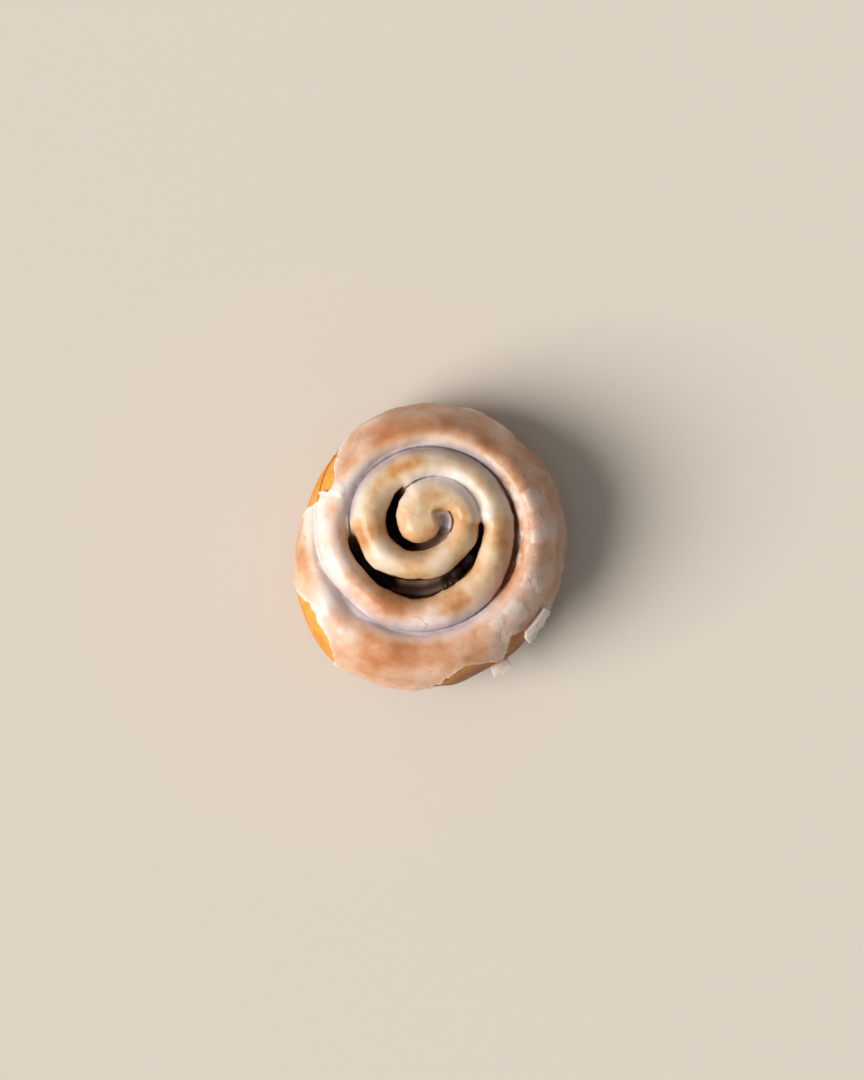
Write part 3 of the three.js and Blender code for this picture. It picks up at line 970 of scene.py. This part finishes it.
@dataclass
class Glaze:
    """The sugar glaze, poured over the baked roll."""

    skin: StripSkin = field(default_factory=StripSkin)
    finish: Finish = field(default_factory=SugarGlaze)
    steps: int = 1900
    last: float = 951.0
    foot: float = 14.0
    hidden: float = -0.45  # depth in the dough at which the glaze is cut away
    # What is bare at the tail's seam: degrees to each side, millimetres to each side, and up to what height.
    tail_bare: tuple[float, float, float] = (7.5, 2.2, 31.0)
    gap_more: float = 0.55
    voxel: float = 0.47
    thickness: float = 0.6
    thinnest: float = 0.22
    uneven: float = 0.13
    run_down: float = 0.4
    plate: float = 8.5
    plate_step: float = 0.5
    # Where the glaze ran off and lies thin: (x, y, how far across, how much thinner, or below 0 thicker).
    thin_spots: tuple[tuple[float, float, float, float], ...] = (
        (-12, 29, 6, 0.45), (-3, 33, 4, 0.25), (13, 29, 5, 0.2), (-24, 13, 5, 0.3), (-23, 3, 5, 0.2),
        (-5, -10, 7, 0.25), (24, 2, 5, 0.35), (25, -7, 4, 0.25), (9, -21, 7, 0.3), (-18, -22, 8, 0.4),
        (-27, -17, 5, 0.3), (-8, -35, 7, 0.4), (2, 44, 9, 0.3), (-12, 42, 7, 0.3), (16, 41, 7, 0.25),
        (35, 34, 6, 0.25), (0, 18, 5, 0.3), (9, 12, 4, 0.4), (-7, 12, 4, 0.2), (-43, 6, 5, 0.25),
        (26, 25, 6, 0.35), (18.6, 11.5, 1.8, -0.9), (30.5, 5.5, 2, -0.4),
        (-34.5, 8, 5, -0.35), (-33.5, -4, 6, -0.35), (-34, 18, 4, -0.3), (-35, -18, 6, -0.3),
        (-27, -28, 4, -0.3),
        (-44, -3, 5, 0.35), (41, 0, 5, 0.3), (13, -41, 6, 0.4), (-21, -41, 7, 0.35), (38, 18, 6, 0.3),
    )  # fmt: skip
    buried: float = 1.3
    edge_softness: float = 1.3
    reach_in_gap: float = 5.0
    overlap: float = 0.4
    edge_step: float = 15.0
    # Height of the lower edge on the side at every edge_step degrees from +X, anticlockwise.
    edge_heights: tuple[float, ...] = (
        15, 11, 17, 9, 14, 19, 12, 15, 17, 25, 38, 22,
        9, 22, 36, 30, 12, 16, 24, 36, 28, 35, 20, 10,
    )  # fmt: skip
    # Drips: (bearing, width in degrees, how far below the edge each hangs).
    drips: tuple[tuple[float, float, float], ...] = (
        (8, 4.0, 4.0), (27, 3.4, 8.0), (62, 4.4, 5.0), (83, 3.6, 8.5), (104, 4.0, 3.0), (153, 1.5, 7.0),
        (171, 4.5, 4.0), (192, 4.0, 3.0), (233, 5.0, 6.0), (251, 4.0, 4.0),
        (268, 4.5, 9.0), (303, 3.5, 6.0), (322, 2.5, 6.0), (338, 4.0, 7.0), (350, 3.0, 3.0),
    )  # fmt: skip
    # How milky the glaze over the closed gap is: (degrees, share).
    milky: tuple[tuple[float, float], ...] = (
        (0, 0.8), (60, 0.8), (260, 0.2), (300, 0.12), (390, 0.12), (560, 0.5), (580, 0.8), (690, 0.8),
        (800, 0.3), (820, 0.8), (870, 0.8), (900, 0.2), (965, 0.0),
    )  # fmt: skip
    # How dark the syrup line in the crease is: (degrees, share).
    dark_line: tuple[tuple[float, float], ...] = (
        (0, 1), (55, 1), (80, 0), (240, 0.3), (256, 0.95), (284, 0.9), (310, 0.4), (390, 0.35),
        (400, 0.2), (556, 0.5), (566, 0.9), (580, 0.8), (600, 0.55), (670, 0.7), (700, 0.95),
        (720, 1), (806, 1), (820, 0.7), (840, 0.35), (870, 0.15), (900, 0.25), (965, 0),
    )  # fmt: skip
    # Where each of these begins and ends, in degrees: caramel and rime along the gap, and on bearings the
    # dried glaze with painted shade on the side away from the light.
    caramel_along: tuple[tuple[float, float], tuple[float, float]] = ((736, 764), (792, 812))
    rime_along: tuple[tuple[float, float], tuple[float, float]] = ((708, 722), (765, 790))
    dry_and_shaded_round: tuple[tuple[float, float], tuple[float, float]] = ((-72, -50), (30, 66))
    flakes: tuple[Flake, ...] = (
        Flake((36.5, -26.4, 30.8), -35.8, 52.0,
              ((-3.6, -4.4), (-1.4, -6.0), (2.2, -6.8), (1.0, -4.7), (2.5, -3.9), (2.2, -1.0), (2.8, 0.8),
               (1.7, 3.0), (1.5, 5.0), (0.2, 6.4), (-3.2, 5.8), (-3.8, 0.5))),
        Flake((24.2, -40.6, 20.5), -59.4, 14.0,
              ((-4.0, -3.0), (0.5, -3.7), (2.6, -4.4), (2.2, -2.1), (4.0, -1.1), (3.8, 1.5), (2.6, 2.0),
               (2.8, 3.6), (-0.7, 3.0), (-4.0, 4.0))),
    )  # fmt: skip

    def build(self, dough: bpy.types.Object) -> bpy.types.Object:
        """Pour the glaze, let it run together, and keep only what shows.

        Args:
            dough: The baked dough it lies on.

        Returns:
            The glaze.
        """
        grid = self.skin.skin(self.steps, gap_more=self.gap_more, foot=self.foot, last=self.last)
        grid["points"] = self.skin.baked(grid["points"])
        piece = lay_sheet("poured_glaze", self.pour(grid))
        apply_modifier(piece, "REMESH", mode="VOXEL", voxel_size=self.voxel * MM)
        apply_modifier(piece, "SMOOTH", factor=0.5, iterations=3)
        delete_points(piece, self.depth_over(piece, dough) < self.hidden)
        self.bare_tail(piece)
        for flake in self.flakes:
            self.join(piece, flake.build())
        self.describe(piece, dough)
        smooth_faces(piece)
        self.finish.dress(piece)
        return piece

    def bare_tail(self, piece: bpy.types.Object) -> None:
        """Clear the glaze from the foot of the seam at the strip's tail."""
        x, y, z = points_of(piece).T
        away, at = self.skin.spiral.nearest_gap(x, y)
        degrees, beside, height = self.tail_bare
        delete_points(piece, (np.abs(at - self.last) < degrees) & (np.abs(away) < beside) & (z < height))

    def join(self, piece: bpy.types.Object, part: bpy.types.Object) -> None:
        """Make a part's mesh one with the piece's."""
        select_only(piece)
        part.select_set(True)
        bpy.ops.object.join()

    def edge_height(self, bearing: np.ndarray) -> np.ndarray:
        """Give the height of the lower edge on the side, drips and all, on a bearing in degrees."""
        heights = np.array([*self.edge_heights, self.edge_heights[0]], float)
        edge = curve_through(np.mod(bearing, TURN), np.arange(len(heights)) * self.edge_step, heights)
        for middle, width, drop in self.drips:
            edge = edge - drop * bell(angle_from(bearing, middle), width)
        return np.maximum(edge, 3.0)

    def pour(self, grid: dict[str, np.ndarray]) -> np.ndarray:
        """Lift the skin to the glaze's surface where there is glaze, and sink it into the dough elsewhere.

        Args:
            grid: The strip's skin.

        Returns:
            The new points of the grid.
        """
        spiral, bun = self.skin.spiral, self.skin.spiral.bun
        points, turned, level = grid["points"], grid["turned"], grid["level"]
        x, y, z = points[..., 0], points[..., 1], points[..., 2]
        normal = self.skin.outward(points)
        bearing = np.degrees(np.arctan2(y, x))
        share = bun.share(x, y)

        ragged = 0.8 * lumps(points, 7.0, seed=31) + 0.3 * lumps(points, 2.5, seed=32)
        on_side = z - self.edge_height(bearing) + ragged
        in_gap = z - (level - self.reach_in_gap) + 0.6 * ragged
        column = np.arange(points.shape[1])[None, :]
        outer_half = column > self.skin.wall_points + self.skin.top_points // 3
        facing = turned + TURN * outer_half
        is_side = smoothstep(facing, self.last - 22, self.last - 8)
        is_side = np.maximum(grid["outside"] * outer_half, is_side)
        inside = on_side * is_side + in_gap * (1 - is_side)
        cover = smoothstep(inside, 0.0, self.edge_softness)

        bead = 0.45 * bell(inside - 1.6, 1.6) * is_side
        coat = self.thickness + self.uneven * lumps(points, 15.0, seed=41)
        coat = coat + 0.04 * lumps(points, 4.5, seed=42)
        near_gap, at_gap = spiral.nearest_gap(x, y)
        pressed = 1 - smoothstep(spiral.opening(at_gap), -0.1, 0.5)
        coat = coat + self.run_down * pressed * (1 - smoothstep(np.abs(near_gap), 2.0, 6.0))
        for spot_x, spot_y, across, thinner in self.thin_spots:
            coat = coat - thinner * bell(np.hypot(x - spot_x, y - spot_y), across)
        coat = np.maximum(coat, self.thinnest) + bead + self.cracked(bearing, z) * is_side
        thickness = (grid["radius"][:, -1:] - grid["radius"][:, :1]) * 0.3
        buried = -np.minimum(self.buried, thickness)
        poured = points + normal * (buried + (coat - buried) * cover)[..., None]

        for side in GapSide:
            self.fill_gap(grid, poured, side)
        return poured

    def fill_gap(self, grid: dict[str, np.ndarray], poured: np.ndarray, side: GapSide) -> None:
        """Where glaze stands in the gap, carry one side of the strip level across to the gap's middle.

        Args:
            grid: The strip's skin.
            poured: The glaze's points, which are changed where they lie below the level it stands at.
            side: Which side of the strip to fill from.
        """
        spiral, bun = self.skin.spiral, self.skin.spiral.bun
        inner = side is GapSide.INNER
        first, last = self.skin.wall_points, self.skin.wall_points + self.skin.top_points - 1
        middle = (first + last) // 2
        gap = grid["gap_in" if inner else "gap_out"][:, 0]
        at = grid["turned"][:, 0] + (0 if inner else TURN)
        start = gap - side.value * self.overlap
        gap_x, gap_y = spiral.place(at, gap)
        stand = bun.height(np.minimum(bun.share(gap_x, gap_y), 1)) - spiral.pool(at)
        stand = stand + 0.25 * lumps(np.stack([gap_x, gap_y, 0 * gap_x], -1), 8.0, seed=51)
        lip = np.arange(first, middle) if inner else np.arange(last, middle, -1)
        wall = np.arange(0, first) if inner else np.arange(last + 1, poured.shape[1])
        radius = np.hypot(poured[..., 0] - spiral.centre[0], poured[..., 1] - spiral.centre[1])
        filled = (at >= spiral.core_by) & (at <= self.last - 14) & (inner | (grid["outside"][:, 0] < 0.5))
        for row in np.flatnonzero(filled):
            covered = int(np.argmin(poured[row, lip, 2] < stand[row]))
            new_radius = radius[row].copy()
            is_low = poured[row, wall, 2] < stand[row]
            low = wall[is_low]
            new_radius[low] = start[row]
            if is_low.any() and not is_low.all():
                floor = low.max() if inner else low.min()
                poured[row, [floor, floor + side.value], 2] = stand[row]
            if covered:
                shore = radius[row, lip[covered]]
                new_radius[lip[:covered]] = np.linspace(start[row], shore, covered, endpoint=False)
                poured[row, lip[:covered], 2] = stand[row]
            scale = (new_radius / np.maximum(radius[row], 1e-6))[:, None]
            centre = np.array(spiral.centre)
            poured[row, :, :2] = centre + (poured[row, :, :2] - centre) * scale

    def cracked(self, bearing: np.ndarray, z: np.ndarray) -> np.ndarray:
        """Give how much the glaze is raised where it set in overlapping plates, down the right-hand side.

        Args:
            bearing: Bearings in degrees.
            z: Heights.

        Returns:
            The extra thickness in millimetres, level over each plate, with a narrow crack round it.
        """
        random = np.random.default_rng(61)
        along = np.radians(angle_from(bearing)) * self.skin.spiral.bun.side_radius
        along = along + 1.2 * np.sin(z * 0.9) + 0.5 * np.sin(z * 2.3 + along)
        nearest, second = np.full(z.shape, 1e3), np.full(z.shape, 1e3)
        raised = np.zeros(z.shape)
        for u in np.arange(-64.0, 44.0, self.plate):
            for v in np.arange(8.0, 48.0, self.plate):
                du, dv, lift = random.uniform(-0.42, 0.42, 3)
                away = np.hypot(along - u - du * self.plate, (z - v - dv * self.plate) * 0.8)
                closer = away < nearest
                second = np.where(closer, nearest, np.minimum(second, away))
                raised = np.where(closer, lift + 0.42, raised)
                nearest = np.where(closer, away, nearest)
        crack = 1 - smoothstep(second - nearest, 0.1, 0.7)
        return between(along, (-58, -40), (22, 36)) * (self.plate_step * raised - 0.2 * crack)

    def depth_over(self, piece: bpy.types.Object, dough: bpy.types.Object) -> np.ndarray:
        """Measure how far each point stands outside the dough, with points inside it negative.

        Args:
            piece: The mesh to measure.
            dough: The baked dough.

        Returns:
            The distance of each point in millimetres.
        """
        tree = BVHTree.FromObject(dough, bpy.context.evaluated_depsgraph_get())
        depth = np.empty(len(piece.data.vertices))
        for i, vertex in enumerate(piece.data.vertices):
            near, normal, _, distance = tree.find_nearest(vertex.co)
            inside = (vertex.co - near).dot(normal) < 0
            if inside:
                # The dough's turns overlap in its core, so the way out has to cross its skin from within.
                hit, skin_normal, _, _ = tree.ray_cast(vertex.co, vertex.normal)
                inside = hit is not None and skin_normal.dot(vertex.normal) > 0
            depth[i] = distance / MM * (-1 if inside else 1)
        return depth

    def describe(self, piece: bpy.types.Object, dough: bpy.types.Object) -> None:
        """Store what the material needs: the glaze's depth, and where it lies over the gap."""
        spiral = self.skin.spiral
        points = points_of(piece)
        away, at = spiral.nearest_gap(points[:, 0], points[:, 1])
        depth = self.depth_over(piece, dough)
        closed = 1 - smoothstep(spiral.opening(at), -0.1, 0.3)
        milky = closed * read_table(at, self.milky)
        hollow = 1 - smoothstep(at, 60, 80)
        valley = np.maximum(milky, 0.85 * hollow * (depth > 0.8)) * bell(away, 2.2)
        share = np.minimum(spiral.bun.share(points[:, 0], points[:, 1]), 1)
        sunk = spiral.bun.height(share) - points[:, 2]
        narrow = smoothstep(at, 640, 690)
        in_gap = bell(away, 4.0) * (at > 50)
        # Painted shade: down in the open gap the glaze takes dark syrup colours the further it sinks below
        # the top.
        film_and_shade = smoothstep(sunk, 3.2, 5.4) * (1 - closed) * in_gap * (1 - narrow)
        seep_and_shade = smoothstep(sunk, 2.4, 4.0) * in_gap * narrow * (at < 830)
        warm = 0.7 * bell(away - 1.6, 1.7) * (away > 0) * between(at, *self.caramel_along)
        rime = between(at, *self.rime_along)
        # Round the hollow at the middle the line follows the outer wall.
        away = away - (spiral.opening(at) + 0.6) * (1 - smoothstep(at, 56, 80))
        radius = np.hypot(points[:, 0] - spiral.centre[0], points[:, 1] - spiral.centre[1])
        bearing = np.degrees(np.arctan2(points[:, 1], points[:, 0]))
        # The dried colour, which is also painted shade on the right-hand side away from the light, grows
        # towards the side.
        towards_side = 0.45 * smoothstep(share, 0.6, 0.8) + 0.55 * smoothstep(share, 0.84, 0.97)
        for name, values in {
            "depth": depth,
            "valley": valley,
            "away": away,
            "line": read_table(at, self.dark_line) * (1 - smoothstep(np.abs(away), 1.5, 3.5)),
            "film_and_shade": film_and_shade,
            "seep_and_shade": seep_and_shade,
            "warm": warm,
            "rime": bell(away - 1.6, 0.75) * rime,
            "inner": 1 - smoothstep(radius, 22, 34),
            "dry_and_shaded": between(bearing, *self.dry_and_shaded_round) * (depth < 1.7) * towards_side,
        }.items():
            set_attribute(piece, name, values)


# ---------------------------------------------------------------- the studio


@dataclass
class Studio:
    """Pale floor, one large soft light from the left, and the camera straight above."""

    camera_height: float = 645.0
    camera_offset: tuple[float, float] = (0.35, 2.7)
    lens: float = 60.0
    sensor: float = 36.0
    light_from: tuple[float, float, float] = (-530.0, -170.0, 430.0)
    light_spread: float = 42.0
    light_strength: float = 4.1
    light_colour: str = "#fff9f2"
    sky: str = "#e9e6e2"
    sky_strength: float = 0.3
    far_floor: str = "#d8cfc2"

    def build(self) -> None:
        """Set up the floor, the lights, the world and the camera."""
        self.lay_floor()
        self.hang_light()
        self.surroundings()
        self.place_camera()

    def lay_floor(self) -> None:
        """Lay the backdrop paper."""
        deselect()
        bpy.ops.mesh.primitive_plane_add(size=6.0)
        floor = bpy.context.active_object
        floor.name = floor.data.name = "floor"
        StudioPaper().dress(floor)

    def hang_light(self) -> None:
        """Add one broad, soft light, the same over the whole floor, aimed at the roll."""
        deselect()
        bpy.ops.object.light_add(type="SUN", location=Vector(self.light_from) * MM)
        lamp = bpy.context.active_object
        lamp.name = "window"
        lamp.data.angle = math.radians(self.light_spread)
        lamp.data.energy = self.light_strength
        lamp.data.color = linear(self.light_colour)[:3]
        lamp.rotation_euler = (-lamp.location).to_track_quat("-Z", "Y").to_euler()

    def surroundings(self) -> None:
        """Light the world evenly, and show the camera the floor's own tone past its edge."""
        world = bpy.data.worlds.new("studio")
        world.use_nodes = True
        nodes = Nodes(world.node_tree)
        seen = nodes.add("LightPath").outputs["Is Camera Ray"]
        lighting = nodes.add("Background", {"Color": linear(self.sky), "Strength": self.sky_strength})
        shown = nodes.add("Background", {"Color": linear(self.far_floor), "Strength": 1.0})
        mixed = nodes.add("MixShader", {0: seen, 1: lighting.outputs[0], 2: shown.outputs[0]})
        nodes.add("OutputWorld", {"Surface": mixed.outputs[0]})
        bpy.context.scene.world = world
        bpy.context.scene.view_settings.view_transform = "Standard"

    def place_camera(self) -> None:
        """Hang the camera above the roll, looking straight down."""
        across, along = self.camera_offset
        deselect()
        bpy.ops.object.camera_add(location=Vector((across, along, self.camera_height)) * MM)
        camera = bpy.context.active_object
        camera.data.lens = self.lens
        camera.data.sensor_fit = "VERTICAL"
        camera.data.sensor_height = self.sensor
        camera.data.clip_start = 0.01
        bpy.context.scene.camera = camera


def hand_over(piece: bpy.types.Object, node: str) -> None:
    """Say that a piece stands for a solid of the frame, and report it."""
    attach(piece, "root")
    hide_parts(node)
    LOG.info("%s: %d faces, for %s", piece.name, len(piece.data.polygons), node)


def main() -> None:
    """Build the roll and its studio."""
    logging.basicConfig(level=logging.INFO, format="%(name)s %(message)s")
    dough = Dough().build()
    hand_over(dough, "dough_roll")
    filling = Filling().build()
    hand_over(filling, "cinnamon_filling")
    glaze = Glaze().build(dough)
    hand_over(glaze, "sugar_glaze")
    Studio().build()


if __name__ == "__main__":
    main()
